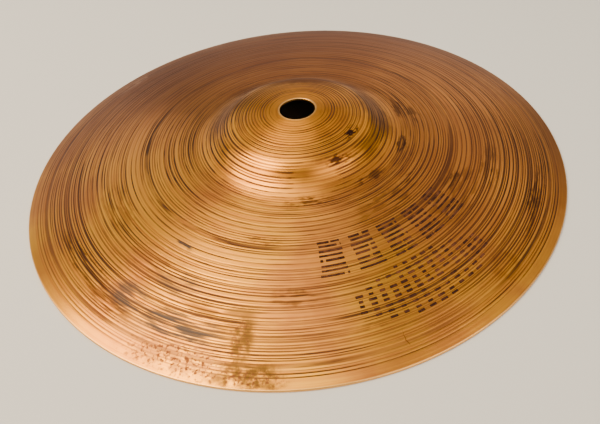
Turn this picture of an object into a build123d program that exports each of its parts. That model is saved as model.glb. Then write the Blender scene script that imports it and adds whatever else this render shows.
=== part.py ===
"""An 8 inch splash cymbal: one thin sheet of spun bronze with a raised bell, a punched centre hole and turned
grooves on both faces, and a worn print whose ink is left only in the bottoms of the grooves.

Frame: +Z up along the cymbal's axis, the origin on that axis in the plane that the rim rests on. Millimetres.
"""

import os
from math import acos, asin, cos, degrees, radians, sin

from build123d import *

# The sheet: its outside size, its thickness and the hole for a stand's rod.
RIM_RADIUS = 101.6
THICKNESS = 0.85
HOLE_RADIUS = 6.5
HOLE_EDGE_ROUND = 0.12
RIM_EDGE_ROUND = 0.12
REST_LAND = 0.3  # width of the flat that wear leaves under the rim

# The section from the axis outwards, as tangent arcs and one straight flank.
CROWN_RADIUS = 88.0
SHOULDER_RADIUS = 11.0
FLANK_LENGTH = 1.0
NECK_RADIUS = 17.0
BOW_RADIUS = 262.0
CROWN_ANGLE = 16.0  # slope below level, in degrees, where the crown ends
FLANK_ANGLE = 44.0
BOW_ANGLE = 5.2  # slope where the bow starts

# The grooves, as the round nose of a turning tool leaves them.
TOOL_RADIUS = 2.0
GROOVE_DEPTH = 0.07
BELL_PITCH = 1.45
BELL_GROOVES = 11
FIRST_BELL_GROOVE = 20.3
BOW_PITCH = 1.78
BOW_GROOVES = 35
FIRST_BOW_GROOVE = 36.5

# The print, in two parts: a bent row of blocks, and an oval field of dots nearer the rim.
INK_DEPTH = 0.03  # deepest ink in the bottom of a groove
PRINT_MIDDLE = -56.0  # direction of the print's middle from +X, in degrees
BLOCK_GROOVES = range(11, 19)  # bow grooves that hold the blocks, counted from the bell
BLOCK_COUNT = 5
BLOCK_ANGLE = 7.4
BLOCK_PITCH_ANGLE = 10.4
DOT_GROOVES = range(20, 30)  # bow grooves that hold the dots
DOT_COLUMNS = 13
DOT_ANGLE = 1.3
DOT_PITCH_ANGLE = 2.8


def bow_end_angle(depth, start_radius):
    """Slope in degrees where the bow, at this depth below the top face, reaches the rim."""
    reach = (RIM_RADIUS - start_radius) / (BOW_RADIUS - depth)
    return degrees(asin(reach + sin(radians(BOW_ANGLE))))


def sections(depth):
    """The section's parts in order, as (kind, radius or length, slope at its start, slope at its end)."""
    parts = [
        ("arc", CROWN_RADIUS - depth, 0.0, CROWN_ANGLE),
        ("arc", SHOULDER_RADIUS - depth, CROWN_ANGLE, FLANK_ANGLE),
        ("line", FLANK_LENGTH, FLANK_ANGLE, FLANK_ANGLE),
        ("arc", -NECK_RADIUS - depth, FLANK_ANGLE, BOW_ANGLE),
    ]
    bow_start = sum(step_of(part)[0] for part in parts)
    return parts + [("arc", BOW_RADIUS - depth, BOW_ANGLE, bow_end_angle(depth, bow_start))]


def step_of(part):
    """How far outwards and how far down one part of the section goes. A hollow arc has a negative radius."""
    kind, size, start, end = part
    start, end = radians(start), radians(end)
    if kind == "line":
        return size * cos(start), size * sin(start)
    return size * (sin(end) - sin(start)), size * (cos(start) - cos(end))


# The underside's outline ends this far below the rest plane, and the part of it below that plane is cut away.
UNDER_PARTS = sections(THICKNESS)
RIM_CUT = REST_LAND * sin(radians(UNDER_PARTS[-1][3]))
CROWN_HEIGHT = THICKNESS + sum(step_of(part)[1] for part in UNDER_PARTS) - RIM_CUT


def draw_outline(depth):
    """Draws the section at this depth below the top face, from the axis to the rim, and gives its curves."""
    point, tangent = Vector(0, CROWN_HEIGHT - depth), Vector(1, 0)
    drawn = []
    for kind, size, start, end in sections(depth):
        if kind == "line":
            curve = PolarLine(point, size, direction=tangent)
        else:
            curve = JernArc(point, tangent, abs(size), start - end)
        drawn.append(curve)
        point, tangent = curve @ 1, curve % 1
    return drawn


def face_point(radius, depth):
    """The height and the slope in degrees of the sheet at this radius and this depth below the top face."""
    reached, height = 0.0, CROWN_HEIGHT - depth
    for part in sections(depth):
        kind, size, start, _ = part
        out, down = step_of(part)
        if radius <= reached + out:
            if kind == "line":
                return height - (radius - reached) * down / out, start
            slope = asin((radius - reached) / size + sin(radians(start)))
            return height - size * (cos(radians(start)) - cos(slope)), degrees(slope)
        reached, height = reached + out, height - down
    raise ValueError(f"radius {radius} lies outside the rim")


def tool_centre(radius, depth, side):
    """Where the tool's nose is centred when it cuts a groove at this radius. side is 1 above and -1 below."""
    height, slope = face_point(radius, depth)
    lift = side * (TOOL_RADIUS - GROOVE_DEPTH)
    return radius + lift * sin(radians(slope)), height + lift * cos(radians(slope))


bell_groove_radii = [FIRST_BELL_GROOVE + i * BELL_PITCH for i in range(BELL_GROOVES)]
bow_groove_radii = [FIRST_BOW_GROOVE + i * BOW_PITCH for i in range(BOW_GROOVES)]
groove_radii = bell_groove_radii + bow_groove_radii
top_tool_centres = [tool_centre(radius, 0, 1) for radius in groove_radii]
under_tool_centres = [tool_centre(radius, THICKNESS, -1) for radius in groove_radii]

# The cymbal itself, one piece of bronze.
with BuildPart() as cymbal_disc:
    with BuildSketch(Plane.XZ):
        with BuildLine():
            top_curves = draw_outline(0)
            under_curves = draw_outline(THICKNESS)
            Line(top_curves[0] @ 0, under_curves[0] @ 0)
            Line(top_curves[-1] @ 1, under_curves[-1] @ 1)
        make_face()
        with Locations(*top_tool_centres, *under_tool_centres):
            Circle(TOOL_RADIUS, mode=Mode.SUBTRACT)
        with Locations((RIM_RADIUS, 0)):
            Rectangle(2 * THICKNESS, THICKNESS, align=(Align.CENTER, Align.MAX), mode=Mode.SUBTRACT)
        with Locations((0, CROWN_HEIGHT)):
            Rectangle(2 * HOLE_RADIUS, 4 * THICKNESS, mode=Mode.SUBTRACT)
        fillet(vertices().filter_by_position(Axis.X, HOLE_RADIUS - 0.01, HOLE_RADIUS + 0.01), HOLE_EDGE_ROUND)
        fillet(vertices().filter_by_position(Axis.X, RIM_RADIUS - 0.01, RIM_RADIUS + 0.01), RIM_EDGE_ROUND)
    revolve(axis=Axis.Z)
cymbal_disc.part.label = "cymbal_disc"


def half_plane(direction):
    """The upright plane that holds the axis and looks out in this direction, in degrees from +X."""
    across = (cos(radians(direction)), sin(radians(direction)), 0)
    normal = (sin(radians(direction)), -cos(radians(direction)), 0)
    return Plane(origin=(0, 0, 0), x_dir=across, z_dir=normal)


def draw_ink(number):
    """Draws the section of the ink in one bow groove: level on top, and in short flats along the groove's bottom."""
    centre_radius, centre_height = tool_centre(bow_groove_radii[number], 0, 1)
    down = -90 - face_point(bow_groove_radii[number], 0)[1]
    spread = degrees(acos(1 - INK_DEPTH / TOOL_RADIUS))
    points = []
    for share in (-1, -0.5, 0, 0.5, 1):
        direction = radians(down + share * spread)
        points.append((centre_radius + TOOL_RADIUS * cos(direction), centre_height + TOOL_RADIUS * sin(direction)))
    Polyline(*points, close=True)


# The row of blocks: plain rectangles bent round the axis.
with BuildPart() as print_blocks:
    for i in range(BLOCK_COUNT):
        middle = PRINT_MIDDLE + (i - (BLOCK_COUNT - 1) / 2) * BLOCK_PITCH_ANGLE
        with BuildSketch(half_plane(middle - BLOCK_ANGLE / 2)):
            for number in BLOCK_GROOVES:
                with BuildLine():
                    draw_ink(number)
                make_face()
        revolve(axis=Axis.Z, revolution_arc=BLOCK_ANGLE)
print_blocks.part.label = "print_blocks"


def dot_grooves(column):
    """The grooves that hold dots in one column, fewer towards the ends, so that the field is an oval."""
    share = (column + 0.5) / DOT_COLUMNS * 2 - 1
    reach = (1 - share**2) ** 0.5 * len(DOT_GROOVES) / 2
    centre = (DOT_GROOVES.start + DOT_GROOVES.stop - 1) / 2
    return [number for number in DOT_GROOVES if abs(number - centre) <= reach]


# The oval field of dots, one column of short dashes at a time.
with BuildPart() as print_dots:
    for column in range(DOT_COLUMNS):
        middle = PRINT_MIDDLE + (column - (DOT_COLUMNS - 1) / 2) * DOT_PITCH_ANGLE
        with BuildSketch(half_plane(middle - DOT_ANGLE / 2)):
            for number in dot_grooves(column):
                with BuildLine():
                    draw_ink(number)
                make_face()
        revolve(axis=Axis.Z, revolution_arc=DOT_ANGLE)
print_dots.part.label = "print_dots"

os.makedirs("parts", exist_ok=True)
for piece in (cymbal_disc, print_blocks, print_dots):
    export_step(piece.part, f"parts/{piece.part.label}.step")
    print(piece.part.label, len(piece.part.solids()), round(piece.part.volume, 2), piece.part.bounding_box().size)
print("crown height", round(CROWN_HEIGHT, 3), "rim angle", round(UNDER_PARTS[-1][3], 2))
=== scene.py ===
import math
import random

import bmesh
import bpy
from mathutils import Matrix, Vector, noise


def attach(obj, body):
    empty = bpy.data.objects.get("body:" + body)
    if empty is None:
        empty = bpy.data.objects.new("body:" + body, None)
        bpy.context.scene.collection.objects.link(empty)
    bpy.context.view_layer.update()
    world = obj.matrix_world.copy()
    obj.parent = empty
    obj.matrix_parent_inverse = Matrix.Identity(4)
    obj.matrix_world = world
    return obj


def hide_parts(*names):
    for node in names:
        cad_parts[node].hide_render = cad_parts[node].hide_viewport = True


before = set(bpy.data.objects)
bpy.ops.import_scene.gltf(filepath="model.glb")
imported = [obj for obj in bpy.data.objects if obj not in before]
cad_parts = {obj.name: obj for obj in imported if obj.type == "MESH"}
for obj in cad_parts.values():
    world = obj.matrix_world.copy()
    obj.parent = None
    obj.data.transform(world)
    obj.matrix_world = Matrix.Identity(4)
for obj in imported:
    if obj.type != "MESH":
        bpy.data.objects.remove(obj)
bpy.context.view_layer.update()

# The camera looks down at the print's side of the cymbal from a quarter of a metre away and 40 degrees
# above the table, the way someone bends over it. It is turned a degree, as a hand-held camera is. Angles
# are in radians.
TILT = 0.7776
TURN = -0.0185
SENSOR_WIDTH = 36
LENS_IN_WIDTHS = 1.0798
SHIFT_IN_WIDTHS = -0.1333
RIM_CENTRE_FROM_CAMERA = Vector((-0.2961, -0.2027, 2.5128)) * 0.1016
RIM_TOP_HEIGHT = 0.0008

roll = Matrix.Rotation(TURN, 3, "Z")
object_x = roll @ Vector((1, 0, 0))
object_y = roll @ Vector((0, -math.sin(TILT), math.cos(TILT)))
object_z = roll @ Vector((0, -math.cos(TILT), -math.sin(TILT)))
to_object = Matrix((object_x, object_y, object_z))
place = -(to_object @ RIM_CENTRE_FROM_CAMERA) + Vector((0, 0, RIM_TOP_HEIGHT))
facing = to_object @ Matrix(((1, 0, 0), (0, -1, 0), (0, 0, -1)))

camera_data = bpy.data.cameras.new("camera")
camera_data.sensor_width = SENSOR_WIDTH
camera_data.lens = SENSOR_WIDTH * LENS_IN_WIDTHS
camera_data.shift_x = SHIFT_IN_WIDTHS
camera_data.clip_start = 0.01
camera = bpy.data.objects.new("camera", camera_data)
camera.matrix_world = Matrix.Translation(place) @ facing.to_4x4()
bpy.context.scene.collection.objects.link(camera)
bpy.context.scene.camera = camera

# The cymbal: one disc of B8 bronze sheet, spun over a form to raise the bell and the bow, then turned on a
# lathe, whose tool leaves a groove at every turn of its slow feed. The section is drawn from the hole to
# the rim as arcs that run smoothly into each other, once for the top face and once for the underside.
MM = 0.001
RIM_RADIUS = 101.6 * MM
HOLE_RADIUS = 6.5 * MM
THICKNESS = 0.85 * MM
CROWN_RADIUS = 88.0 * MM
SHOULDER_RADIUS = 11.0 * MM
FLANK_LENGTH = 1.0 * MM
NECK_RADIUS = 17.0 * MM
BOW_RADIUS = 262.0 * MM
CROWN_ANGLE = math.radians(16.0)
FLANK_ANGLE = math.radians(44.0)
BOW_ANGLE = math.radians(5.2)
REST_LAND = 0.3 * MM
EDGE_ROUND = 0.22 * MM
TOP_SPACING = 0.27 * MM
UNDERSIDE_SPACING = 0.5 * MM
AROUND = 168


def arc_step(radius, start, end):
    """How far outwards and how far down an arc goes between two slopes."""
    return radius * (math.sin(end) - math.sin(start)), radius * (math.cos(start) - math.cos(end))


def section(depth):
    """The sheet's arcs at this depth below its top face, each (its start's distance from the axis, the drop
    there, its radius, the slope there). The straight flank has no radius."""
    runs = [
        (CROWN_RADIUS - depth, 0.0, CROWN_ANGLE),
        (SHOULDER_RADIUS - depth, CROWN_ANGLE, FLANK_ANGLE),
        (None, FLANK_ANGLE, FLANK_ANGLE),
        (-NECK_RADIUS - depth, FLANK_ANGLE, BOW_ANGLE),
    ]
    out = drop = 0.0
    stations = []
    for radius, start, end in runs:
        if radius is None:
            step = FLANK_LENGTH * math.cos(start), FLANK_LENGTH * math.sin(start)
        else:
            step = arc_step(radius, start, end)
        stations.append((out, drop, radius, start))
        out, drop = out + step[0], drop + step[1]
    stations.append((out, drop, BOW_RADIUS - depth, BOW_ANGLE))
    return stations


def fall(radius, depth):
    """How far the sheet has dropped from its middle at this distance from the axis, and its slope there."""
    out, drop, bend, start = [station for station in section(depth) if station[0] <= radius + 1e-9][-1]
    if bend is None:
        return drop + (radius - out) * math.tan(start), start
    slope = math.asin((radius - out) / bend + math.sin(start))
    return drop + bend * (math.cos(start) - math.cos(slope)), slope


rim_fall, rim_slope = fall(RIM_RADIUS, THICKNESS)
crown_height = THICKNESS + rim_fall - REST_LAND * math.sin(rim_slope)

# Every groove is a little off the even feed, and a little deeper or shallower than the next, because the
# tool is held by hand. A shallower line follows each groove, and others stand on the crown and near the
# rim. Each feed is its first groove's radius, its pitch, how many turns it makes, the depth and half the
# width of its grooves, in millimetres.
BELL_TURNS = 11
BOW_TURNS = 35
BELL_FEED = (20.3, 1.45, BELL_TURNS, 0.070, 0.46)
BOW_FEED = (36.5, 1.78, BOW_TURNS, 0.080, 0.53)
FULL_DEPTH = 0.08 * MM

lathe = random.Random(7)
grooves = []
for first, pitch, count, depth, half_width in (BELL_FEED, BOW_FEED):
    for turn in range(count):
        radius = (first + pitch * turn + lathe.uniform(-0.16, 0.16)) * MM
        half = half_width * lathe.uniform(0.8, 1.2) * MM
        grooves.append((radius, half, depth * lathe.uniform(0.7, 1.2) * MM))
        radius = (first + pitch * (turn + lathe.uniform(0.42, 0.58))) * MM
        grooves.append((radius, 0.36 * MM, depth * lathe.uniform(0.3, 1.0) * MM))
for radius in (9.0, 10.2, 11.5, 12.6, 13.6, 14.6, 15.7, 16.8, 17.9, 19.0):
    grooves.append((radius * MM, 0.42 * MM, lathe.uniform(0.6, 1.2) * 0.007 * (radius - 5) * MM))
for radius in (98.4, 99.3, 100.4):
    grooves.append((radius * MM, 0.40 * MM, 0.014 * MM))


def groove_at(radius):
    """How deep the tool has cut here, and how near this is to a groove's bottom, from 0 to 1."""
    cut = bottom = 0.0
    for centre, half_width, depth in grooves:
        away = abs(radius - centre) / half_width
        if away < 1:
            share = 0.5 + 0.5 * math.cos(math.pi * away)
            cut += depth * share
            bottom = max(bottom, share * min(1.0, depth / FULL_DEPTH))
    return cut, bottom


def draw_face(bm, depth, spacing, side):
    """Draws one face's section from the hole to the rim, with the grooves cut into it. side is 1 above and -1
    below."""
    line = bm.edges.new((bm.verts.new((HOLE_RADIUS, 0, 0)), bm.verts.new((RIM_RADIUS, 0, 0))))
    bmesh.ops.subdivide_edges(bm, edges=[line], cuts=round((RIM_RADIUS - HOLE_RADIUS) / spacing))
    for vert in bm.verts:
        if vert.co.z == 0:
            drop, slope = fall(vert.co.x, depth)
            cut, vert[groove_layer] = groove_at(vert.co.x)
            vert[upper_layer] = float(side == 1)
            vert.co.z = max(1e-9, crown_height - depth - drop - side * cut * math.cos(slope))


bm = bmesh.new()
for name in ("groove", "upper"):
    bm.verts.layers.float.new(name)
groove_layer, upper_layer = bm.verts.layers.float["groove"], bm.verts.layers.float["upper"]
draw_face(bm, 0.0, TOP_SPACING, 1)
draw_face(bm, THICKNESS, UNDERSIDE_SPACING, -1)
for edge_radius in (HOLE_RADIUS, RIM_RADIUS):
    bm.edges.new([vert for vert in bm.verts if abs(vert.co.x - edge_radius) < 0.001 * MM])
bmesh.ops.spin(
    bm, geom=bm.verts[:] + bm.edges[:], cent=(0, 0, 0), axis=(0, 0, 1), angle=math.tau, steps=AROUND,
    use_merge=True,
)
bmesh.ops.remove_doubles(bm, verts=bm.verts[:], dist=0.001 * MM)
bmesh.ops.recalc_face_normals(bm, faces=bm.faces[:])
for edge_radius in (HOLE_RADIUS, RIM_RADIUS):
    loops = [
        edge for edge in bm.edges
        if all(abs(vert.co.xy.length - edge_radius) < 0.01 * MM for vert in edge.verts)
        and abs(edge.verts[0].co.z - edge.verts[1].co.z) < 0.01 * MM
    ]
    bmesh.ops.bevel(
        bm, geom=loops, offset=EDGE_ROUND, offset_type="OFFSET", segments=3, profile=0.5, affect="EDGES",
        material=-1,
    )

# The sheet is never quite true: hammering and years of playing leave it faintly wavy, by less than a tenth
# of a millimetre, which is what makes the reflections waver across it.
def waver(point):
    """How far the sheet stands above its true shape here."""
    calm = max(0.0, 1 - (point.xy.length / RIM_RADIUS) ** 6)
    return calm * MM * (0.12 * noise.noise(point * 38) + 0.035 * noise.noise(point * 120))


for vert in bm.verts:
    vert.co.z += waver(Vector((vert.co.x, vert.co.y, 0)))
for face in bm.faces:
    face.smooth = True
disc_mesh = bpy.data.meshes.new("cymbal_sheet")
bm.to_mesh(disc_mesh)
bm.free()
disc = bpy.data.objects.new("cymbal_sheet", disc_mesh)
bpy.context.scene.collection.objects.link(disc)
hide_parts("cymbal_disc")
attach(disc, "root")


def to_linear(code):
    """An sRGB hex colour as linear red, green, blue and alpha."""
    channels = [int(code[i : i + 2], 16) / 255 for i in (0, 2, 4)]
    return (*[c / 12.92 if c <= 0.04045 else ((c + 0.055) / 1.055) ** 2.4 for c in channels], 1.0)


def add(tree, kind, sockets, **settings):
    """Adds one node with its settings. sockets maps inputs, by name or number, to a value or to what feeds
    them."""
    node = tree.nodes.new(kind)
    for name, value in settings.items():
        setattr(node, name, value)
    for name, value in sockets.items():
        socket = next(s for i, s in enumerate(node.inputs) if s.enabled and name in (i, s.name))
        if isinstance(value, bpy.types.Node):
            value = next(s for s in value.outputs if s.enabled)
        if isinstance(value, bpy.types.NodeSocket):
            tree.links.new(value, socket)
        else:
            socket.default_value = value
    return node


# B8 bronze, about 92 parts copper to 8 of tin: an orange metal that browns with age. Turning leaves it
# bright on the ridges, while handling and air leave a brown film that stays longest in the grooves. Its
# highlights spread across the lathe's lines. Noise scales: clouds 40 mm, grain 3 mm, specks 1 mm.
bronze = bpy.data.materials.new("turned_b8_bronze")
bronze.use_nodes = True
tree = bronze.node_tree
tree.nodes.clear()
shine = {"Metallic": 1.0, "Anisotropic": 0.55, "Anisotropic Rotation": 0.25}
metal = add(tree, "ShaderNodeBsdfPrincipled", shine)
add(tree, "ShaderNodeOutputMaterial", {"Surface": metal})
where = add(tree, "ShaderNodeTexCoord", {}).outputs["Object"]
flat = add(tree, "ShaderNodeVectorMath", {0: where, 1: (1, 1, 0)}, operation="MULTIPLY")
radius = add(tree, "ShaderNodeVectorMath", {0: flat}, operation="LENGTH")
heading = add(tree, "ShaderNodeVectorMath", {0: flat}, operation="NORMALIZE")
groove = add(tree, "ShaderNodeAttribute", {}, attribute_name="groove").outputs["Fac"]
upper = add(tree, "ShaderNodeAttribute", {}, attribute_name="upper").outputs["Fac"]
clouds = add(tree, "ShaderNodeTexNoise", {"Vector": where, "Scale": 25.0, "Detail": 4.0, "Roughness": 0.6})
grain = add(tree, "ShaderNodeTexNoise", {"Vector": where, "Scale": 300.0, "Detail": 4.0, "Roughness": 0.6})
specks = add(tree, "ShaderNodeTexNoise", {"Vector": where, "Scale": 900.0, "Detail": 3.0})
shake = {0: grain.outputs["Color"], 1: (0.005,) * 3, 2: where}
shaken = add(tree, "ShaderNodeVectorMath", shake, operation="MULTIPLY_ADD")
shaken = add(tree, "ShaderNodeVectorMath", {0: shaken, 1: (0.0025,) * 3}, operation="SUBTRACT")


def turned(around, across, detail, seed):
    """A noise drawn out round the axis, as a lathe leaves it: around is how many times it changes in a radian,
    across is how many millimetres one streak is wide."""
    up = add(tree, "ShaderNodeMath", {0: radius, 1: 1000 / across, 2: seed}, operation="MULTIPLY_ADD")
    up = add(tree, "ShaderNodeCombineXYZ", {"Z": up})
    place = add(tree, "ShaderNodeVectorMath", {0: heading, 1: (around,) * 3, 2: up}, operation="MULTIPLY_ADD")
    noise_in = {"Vector": place, "Scale": 1.0, "Detail": detail, "Roughness": 0.6}
    return add(tree, "ShaderNodeTexNoise", noise_in)


def ovals(spots):
    """Rises to 1 inside any of these ragged ovals on the top face. Each is its middle's direction in degrees
    and distance from the axis in millimetres, its half lengths round the axis and outwards, and how strong it
    is."""
    cover = 0.0
    for direction, distance, along, across, strength in spots:
        turn = math.radians(direction)
        middle = (distance * MM * math.cos(turn), distance * MM * math.sin(turn), 0)
        reach = (across * MM, along * MM, 1.0)
        place = {"Vector": shaken, "Location": middle, "Rotation": (0, 0, turn), "Scale": reach}
        away = add(tree, "ShaderNodeMapping", place, vector_type="TEXTURE")
        away = add(tree, "ShaderNodeVectorMath", {0: away}, operation="LENGTH")
        share = {"Value": away, "From Min": 0.45, "From Max": 1.1, "To Min": strength, "To Max": 0.0}
        share = add(tree, "ShaderNodeMapRange", share, interpolation_type="SMOOTHSTEP")
        cover = add(tree, "ShaderNodeMath", {0: share, 1: cover}, operation="MAXIMUM")
    return add(tree, "ShaderNodeMath", {0: cover, 1: upper}, operation="MULTIPLY")


def cover_with(under, share, colour, matt):
    """Lays a colour over what is under it: a film, a deposit, or painted highlight or shade.
    under is (colour, roughness), and so is the result.
    """
    hue = {"Factor": share, "A": under[0], "B": to_linear(colour)}
    hue = add(tree, "ShaderNodeMix", hue, data_type="RGBA")
    rough = add(tree, "ShaderNodeMix", {"Factor": share, "A": under[1], "B": matt}, data_type="FLOAT")
    return hue, rough


# The bare metal is most golden on the crown and the bell, and more copper-red elsewhere, in soft clouds,
# with a darker streak at each pass of the tool. Its front half is painted lighter and more golden: a painted
# highlight, for the warm light that falls on that side.
skin = (to_linear("d88b3a"), 0.27)
# Painted highlight: the front half is made lighter and more golden, for the light that falls there.
front = add(tree, "ShaderNodeVectorMath", {0: flat, 1: (-0.2, -0.98, 0)}, operation="DOT_PRODUCT")
front = {"Value": front, "From Min": -10 * MM, "From Max": 60 * MM}
front = add(tree, "ShaderNodeMapRange", front, interpolation_type="SMOOTHSTEP")
skin = cover_with(skin, front, "e49e2c", 0.27)
share = {"Value": clouds, "From Min": 0.4, "From Max": 0.65}
share = add(tree, "ShaderNodeMapRange", share, interpolation_type="SMOOTHSTEP")
skin = cover_with(skin, share, "de903c", 0.27)
share = {"Value": radius, "From Min": 30 * MM, "From Max": 42 * MM, "To Min": 0.9, "To Max": 0.0}
share = add(tree, "ShaderNodeMapRange", share, interpolation_type="SMOOTHSTEP")
skin = cover_with(skin, share, "ec9c20", 0.27)
share = {"Value": radius, "From Min": 16 * MM, "From Max": 22 * MM, "To Min": 0.9, "To Max": 0.0}
share = add(tree, "ShaderNodeMapRange", share, interpolation_type="SMOOTHSTEP")
skin = cover_with(skin, share, "e8941c", 0.3)
share = {"Value": turned(1.2, 1.1, 3.0, 0.6), "From Min": 0.4, "From Max": 0.7, "To Min": 0.0, "To Max": 0.5}
share = add(tree, "ShaderNodeMapRange", share, interpolation_type="SMOOTHSTEP")
skin = cover_with(skin, share, "a85c26", 0.34)

# Brown film: darkest in the grooves, broken along them here and there, and heavier to the front left and to
# the right, where hands hold it. It has worn off the front of the bell.
heavy = ovals([
    (-24, 70, 46, 30, 0.22), (-122, 80, 48, 18, 0.2), (-165, 86, 30, 12, 0.15), (-60, 84.5, 24, 2.4, 0.3),
    (0, 0, 37, 37, 0.2),
])
worn = ovals([(-75, 31, 9, 6, 0.35)])
heavy = add(tree, "ShaderNodeMath", {0: heavy, 1: worn}, operation="SUBTRACT")
heavy = add(tree, "ShaderNodeMath", {0: heavy, 1: turned(2.4, 1.78, 3.0, 3.0)}, operation="ADD")
broken = {"Value": heavy, "From Min": 0.38, "From Max": 0.58, "To Min": 0.42, "To Max": 1.0}
broken = add(tree, "ShaderNodeMapRange", broken, interpolation_type="SMOOTHSTEP")
film = {"Value": groove, "From Min": 0.18, "From Max": 0.55}
film = add(tree, "ShaderNodeMapRange", film, interpolation_type="SMOOTHSTEP")
film = add(tree, "ShaderNodeMath", {0: film, 1: broken}, operation="MULTIPLY")
bands = turned(0.9, 7.0, 2.0, 11.0)
bands = {"Value": bands, "From Min": 0.3, "From Max": 0.6, "To Min": 0.55, "To Max": 1.0}
bands = add(tree, "ShaderNodeMapRange", bands, interpolation_type="SMOOTHSTEP")
film = add(tree, "ShaderNodeMath", {0: film, 1: bands}, operation="MULTIPLY")
skin = cover_with(skin, film, "3e2a1e", 0.5)
share = {"Value": clouds, "From Min": 0.42, "From Max": 0.68, "To Min": 0.1, "To Max": 0.5}
share = add(tree, "ShaderNodeMapRange", share, interpolation_type="SMOOTHSTEP")
skin = cover_with(skin, share, "7e4826", 0.36)

# Painted reflection and shade: the back of the bow and the base of the bell behind are painted dull and
# brown, for the dark room that they reflect.
back = add(tree, "ShaderNodeVectorMath", {0: flat, 1: (-0.26, 0.97, 0)}, operation="DOT_PRODUCT")
back = {"Value": back, "From Min": 5 * MM, "From Max": 80 * MM, "To Min": 0.0, "To Max": 0.65}
back = add(tree, "ShaderNodeMapRange", back, interpolation_type="SMOOTHSTEP")
skin = cover_with(skin, back, "6c4034", 0.42)
# Painted shade on the base of the bell behind, for the dark room it reflects.
painted_foot_shade = ovals([(92, 27, 34, 9, 0.8), (20, 29, 18, 6, 0.6), (165, 29, 16, 6, 0.6)])
skin = cover_with(skin, painted_foot_shade, "522c1c", 0.5)

# Dark residue that has stayed in a few grooves, and blue-grey smudges that follow them near the front left
# rim.
residue = ovals([
    (-28, 22.8, 6, 1.8, 1.0), (-55, 28.2, 6, 1.8, 0.9), (-45, 37.5, 8, 2.0, 0.7),
    (-82, 38.5, 9, 2.4, 0.75), (-99, 54.8, 8, 1.5, 0.6), (-11, 39.0, 6, 2.5, 0.8),
    (23, 40.0, 8, 2.5, 0.7), (15, 45.0, 7, 2.5, 0.6), (-87, 74.5, 10, 3.0, 0.6),
    (-140, 87.5, 22, 3.5, 0.8), (-128, 90.5, 18, 3.0, 0.7), (-18, 90.0, 22, 2.5, 0.7),
    (-50, 50.0, 16, 6.0, 0.5), (-110, 84.0, 22, 8.0, 0.5), (-30, 64.0, 20, 10, 0.4),
    (-125, 75.0, 20, 9, 0.45), (-33, 48.0, 6, 2.0, 0.7), (-24, 61.5, 8, 1.5, 0.7),
    (-12, 72.0, 14, 4.0, 0.6), (-150, 70, 16, 6, 0.4),
])
lines = turned(7.0, 1.3, 2.0, 30.0)
share = {"Value": lines, "From Min": 0.43, "From Max": 0.56}
share = add(tree, "ShaderNodeMapRange", share, interpolation_type="SMOOTHSTEP")
share = add(tree, "ShaderNodeMath", {0: share, 1: residue}, operation="MULTIPLY")
skin = cover_with(skin, share, "341c14", 0.5)
smudges = ovals([
    (-124.5, 85.6, 10, 5, 0.8), (-111, 87.6, 17, 6, 0.9), (-122.5, 64.3, 5, 2.2, 1.0), (-116, 76, 10, 5, 0.5),
])
share = {"Value": lines, "From Min": 0.36, "From Max": 0.6}
share = add(tree, "ShaderNodeMapRange", share, interpolation_type="SMOOTHSTEP")
share = add(tree, "ShaderNodeMath", {0: share, 1: smudges}, operation="MULTIPLY")
skin = cover_with(skin, share, "3c3634", 0.45)

# Tarnish: greenish brown where a drip has dried near the front rim, pinkish and pitted beside it, a pale
# patch at the back left, a brown ring where something wet has stood, and one short scratch across the
# grooves.
whole = {"Value": grain, "From Min": 0.28, "From Max": 0.5}
whole = add(tree, "ShaderNodeMapRange", whole, interpolation_type="SMOOTHSTEP")
ragged = {"Value": grain, "From Min": 0.42, "From Max": 0.56}
ragged = add(tree, "ShaderNodeMapRange", ragged, interpolation_type="SMOOTHSTEP")
pitted = {"Value": specks, "From Min": 0.50, "From Max": 0.66}
pitted = add(tree, "ShaderNodeMapRange", pitted, interpolation_type="SMOOTHSTEP")
for cover, spots, colour, matt in (
    (
        whole, [(-99, 79.5, 6, 2.0, 0.7), (-97, 87.5, 3.4, 9.5, 0.7), (-95, 98.0, 13.0, 4.0, 0.7)],
        "7a5424", 0.5,
    ),
    (ragged, [(-97.5, 88, 4.0, 9, 0.6), (-95, 98.0, 14.0, 4.5, 0.7)], "523a1c", 0.55),
    (whole, [(-109, 96.5, 18.0, 6.0, 0.4), (-120, 93, 10, 4, 0.3)], "c88c3e", 0.4),
    (ragged, [(-109, 95.5, 18.0, 6.0, 0.5)], "945e34", 0.45),
    (pitted, [(-108, 96.5, 22.0, 5.5, 0.9), (-96, 98.5, 14, 3.0, 0.8), (-98, 88, 4, 8, 0.5)], "6e402a", 0.6),
    (ragged, [(146, 95.0, 12.0, 4.0, 0.5)], "b08a70", 0.6),
):
    share = add(tree, "ShaderNodeMath", {0: cover, 1: ovals(spots)}, operation="MULTIPLY")
    skin = cover_with(skin, share, colour, matt)
ring = {0: ovals([(-40, 92, 6.2, 5.2, 0.5)]), 1: ovals([(-40, 92, 4.6, 3.8, 0.4)])}
ring = add(tree, "ShaderNodeMath", ring, operation="SUBTRACT")
skin = cover_with(skin, ring, "5a2c12", 0.5)
skin = cover_with(skin, ovals([(-67, 93.5, 0.25, 2.6, 0.8)]), "4a2412", 0.5)
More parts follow.
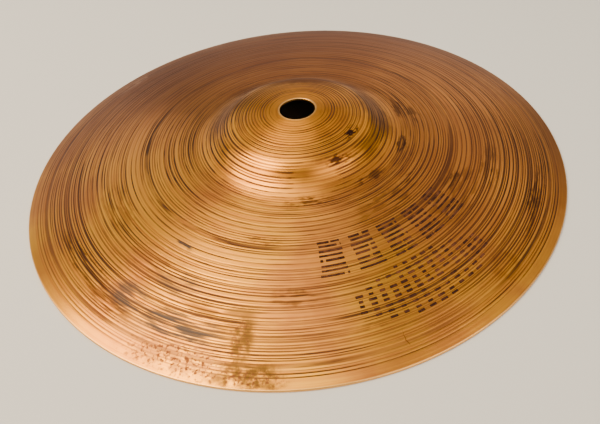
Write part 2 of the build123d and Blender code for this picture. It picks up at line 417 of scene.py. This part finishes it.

# Painted shade: the smooth band along the rim is painted darker and browner to the right and behind, for the
# dark room reflected there. Painted highlights: the rim's and the hole's edges are painted pale and bright,
# for the glint of light along them.
# Painted shade: darkens the rim band to the right and behind.
painted_rim_shade = add(tree, "ShaderNodeVectorMath", {0: heading, 1: (0.75, 0.66, 0)}, operation="DOT_PRODUCT")
painted_rim_shade = {"Value": painted_rim_shade, "From Min": 0.1, "From Max": 0.7, "To Min": 0.0, "To Max": 0.4}
painted_rim_shade = add(tree, "ShaderNodeMapRange", painted_rim_shade, interpolation_type="SMOOTHSTEP")
share = {"Value": radius, "From Min": 94 * MM, "From Max": 98 * MM}
share = add(tree, "ShaderNodeMapRange", share, interpolation_type="SMOOTHSTEP")
share = add(tree, "ShaderNodeMath", {0: share, 1: painted_rim_shade}, operation="MULTIPLY")
skin = cover_with(skin, share, "4e2c20", 0.42)
# Painted highlights: pale, bright bands on the rim's edge and the hole's edge, for the glint of light there.
for start, end in ((101.1, 101.4), (7.3, 6.8)):
    share = {"Value": radius, "From Min": start * MM, "From Max": end * MM, "To Min": 0.0, "To Max": 0.8}
    skin = cover_with(skin, add(tree, "ShaderNodeMapRange", share), "f6bc6c", 0.35)
tree.links.new(skin[0].outputs[2], metal.inputs["Base Color"])
tree.links.new(skin[1].outputs[0], metal.inputs["Roughness"])

# The tool also leaves lines much finer than its feed. They are drawn 0.45 mm apart, coarser than they are,
# to show.
fine_lines = {"Strength": 0.5, "Distance": 0.00003, "Height": turned(1.5, 0.45, 2.0, 20.0)}
fine_lines = add(tree, "ShaderNodeBump", fine_lines)
tree.links.new(fine_lines.outputs[0], metal.inputs["Normal"])
disc_mesh.materials.append(bronze)

# The ink: a black screen print of a plain row of blocks and an oval of dots, worn off the ridges, so that
# it is left only in the bottoms of the grooves, as thin dashes. It is matt and has gone brown where it is
# thinnest.
ink = bpy.data.materials.new("worn_screen_print_ink")
ink.use_nodes = True
tree = ink.node_tree
tree.nodes.clear()
coat = add(tree, "ShaderNodeBsdfPrincipled", {"Roughness": 0.8, "Specular IOR Level": 0.05})
add(tree, "ShaderNodeOutputMaterial", {"Surface": coat})
where = add(tree, "ShaderNodeTexCoord", {}).outputs["Object"]
thin = add(tree, "ShaderNodeTexNoise", {"Vector": where, "Scale": 330.0, "Detail": 3.0})
thin = add(tree, "ShaderNodeMapRange", {"Value": thin, "From Min": 0.45, "From Max": 0.7})
hue = {"Factor": thin, "A": to_linear("2e1a14"), "B": to_linear("5a3624")}
hue = add(tree, "ShaderNodeMix", hue, data_type="RGBA")
tree.links.new(hue.outputs[2], coat.inputs["Base Color"])

PRINT_MIDDLE = -56.0
BLOCKS = 5
BLOCK_PITCH = 10.4
BLOCK_REACH = 3.7
BLOCK_GROOVES = range(11, 19)
DOT_COLUMNS = 13
DOT_PITCH = 2.8
DOT_GROOVES = range(20, 30)
STEP_ANGLE = 1.2
# The outline of a dash across its groove: how far out, as a share of half its width, and how high, in
# millimetres.
DASH_OUTLINE = (
    (-1, 0.0), (-0.5, 0.012), (0, 0.016), (0.5, 0.012), (1, 0.0), (0.5, -0.03), (0, -0.03), (-0.5, -0.03),
)

printer = random.Random(3)
bow_grooves = [grooves[2 * (BELL_TURNS + turn)][0] for turn in range(BOW_TURNS)]


def dash(bm, radius, start, end, width):
    """One dash of ink: a thin skin that follows the groove's bottom, spun from one direction to the other."""
    rim = []
    for share, lift in DASH_OUTLINE:
        out = radius + share * width / 2
        height = crown_height - fall(out, 0)[0] - groove_at(out)[0] * math.cos(fall(out, 0)[1]) + lift * MM
        rim.append(bm.verts.new(Matrix.Rotation(math.radians(start), 3, "Z") @ Vector((out, 0, height))))
    first = bm.faces.new(rim)
    steps = max(2, math.ceil((end - start) / STEP_ANGLE))
    turn = math.radians(end - start)
    bmesh.ops.spin(bm, geom=[first], cent=(0, 0, 0), axis=(0, 0, 1), angle=turn, steps=steps)


def make_print(name, dashes):
    """Makes one part of the print from its dashes, each (groove, start, end, width), and lays it on the
    sheet."""
    bm = bmesh.new()
    for groove, start, end, width in dashes:
        dash(bm, bow_grooves[groove], start, end, width * MM)
    for vert in bm.verts:
        vert.co.z += waver(Vector((vert.co.x, vert.co.y, 0)))
    bmesh.ops.recalc_face_normals(bm, faces=bm.faces[:])
    mesh = bpy.data.meshes.new(name)
    bm.to_mesh(mesh)
    bm.free()
    mesh.materials.append(ink)
    piece = bpy.data.objects.new(name, mesh)
    bpy.context.scene.collection.objects.link(piece)
    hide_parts(name.removesuffix("_ink"))
    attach(piece, "root")


blocks = []
for number in range(BLOCKS):
    middle = PRINT_MIDDLE + (number - BLOCKS // 2) * BLOCK_PITCH
    for groove in BLOCK_GROOVES:
        start = middle - BLOCK_REACH + printer.uniform(-0.25, 0.35)
        end = middle + BLOCK_REACH - printer.uniform(-0.25, 0.35)
        if printer.random() < 0.45:
            gap = printer.uniform(start + 1, end - 1)
            blocks.append((groove, start, gap - 0.3, printer.uniform(0.8, 1.0)))
            start = gap + printer.uniform(0.2, 0.8)
        blocks.append((groove, start, end, printer.uniform(0.8, 1.0)))
make_print("print_blocks_ink", blocks)

dots = []
for column in range(DOT_COLUMNS):
    middle = PRINT_MIDDLE + (column - DOT_COLUMNS // 2) * DOT_PITCH
    reach = 5 * math.sqrt(1 - ((column + 0.5) / 6.5 - 1) ** 2)
    for groove in DOT_GROOVES:
        if abs(groove - 24.5) <= reach and printer.random() < 0.93:
            half = 0.65 + printer.uniform(-0.15, 0.3)
            dots.append((groove, middle - half, middle + half, printer.uniform(0.8, 1.0)))
make_print("print_dots_ink", dots)

# The studio: a plain pale table top, a large soft key light over the left shoulder, weaker ones all round
# that show in the bell and the bow, and a dim, plain room.
floor_mesh = bpy.data.meshes.new("table_top")
bm = bmesh.new()
bmesh.ops.create_grid(bm, x_segments=1, y_segments=1, size=3.0)
bm.to_mesh(floor_mesh)
bm.free()
floor = bpy.data.objects.new("table_top", floor_mesh)
bpy.context.scene.collection.objects.link(floor)
paint = bpy.data.materials.new("matt_paint")
paint.use_nodes = True
paint.node_tree.nodes["Principled BSDF"].inputs["Base Color"].default_value = to_linear("c9c9c6")
paint.node_tree.nodes["Principled BSDF"].inputs["Roughness"].default_value = 0.8
floor_mesh.materials.append(paint)


def soft_light(name, azimuth, elevation, distance, size, power, colour):
    """A square soft box that faces the cymbal. Its angles are in degrees, its distance and size in metres."""
    data = bpy.data.lights.new(name, "AREA")
    data.shape = "SQUARE"
    data.size = size
    data.energy = power
    data.color = to_linear(colour)[:3]
    light = bpy.data.objects.new(name, data)
    azimuth, elevation = math.radians(azimuth), math.radians(elevation)
    level = math.cos(elevation)
    away = Vector((math.cos(azimuth) * level, math.sin(azimuth) * level, math.sin(elevation)))
    facing = away.to_track_quat("Z", "Y").to_matrix().to_4x4()
    light.matrix_world = Matrix.Translation(away * distance) @ facing
    bpy.context.scene.collection.objects.link(light)


soft_light("key", -164, 52, 0.9, 0.6, 12.5, "ffe4b8")
soft_light("overhead", -139, 77, 1.0, 0.6, 3.6, "fff6ea")
soft_light("window", 138, 27, 1.2, 0.7, 1.45, "fffaf4")
soft_light("behind", 116, 64, 1.2, 0.65, 2.6, "fff6ea")
soft_light("back", 97, 27, 1.2, 0.5, 0.4, "fff6ea")
soft_light("right", 50, 45, 1.3, 0.9, 2.2, "fff2e0")
soft_light("low_right", 74, 18, 1.3, 0.5, 0.6, "fff0dc")
soft_light("bell_right", -4, 36, 1.2, 0.5, 1.0, "fff0dc")
soft_light("front", -38, 44, 1.2, 0.9, 8.5, "fff0dc")
soft_light("left", 178, 22, 1.2, 0.5, 1.4, "fff0dc")

world = bpy.data.worlds.new("room")
bpy.context.scene.world = world
world.use_nodes = True
room = world.node_tree
room.nodes["Background"].inputs["Color"].default_value = to_linear("9c9c9e")
room.nodes["Background"].inputs["Strength"].default_value = 0.7
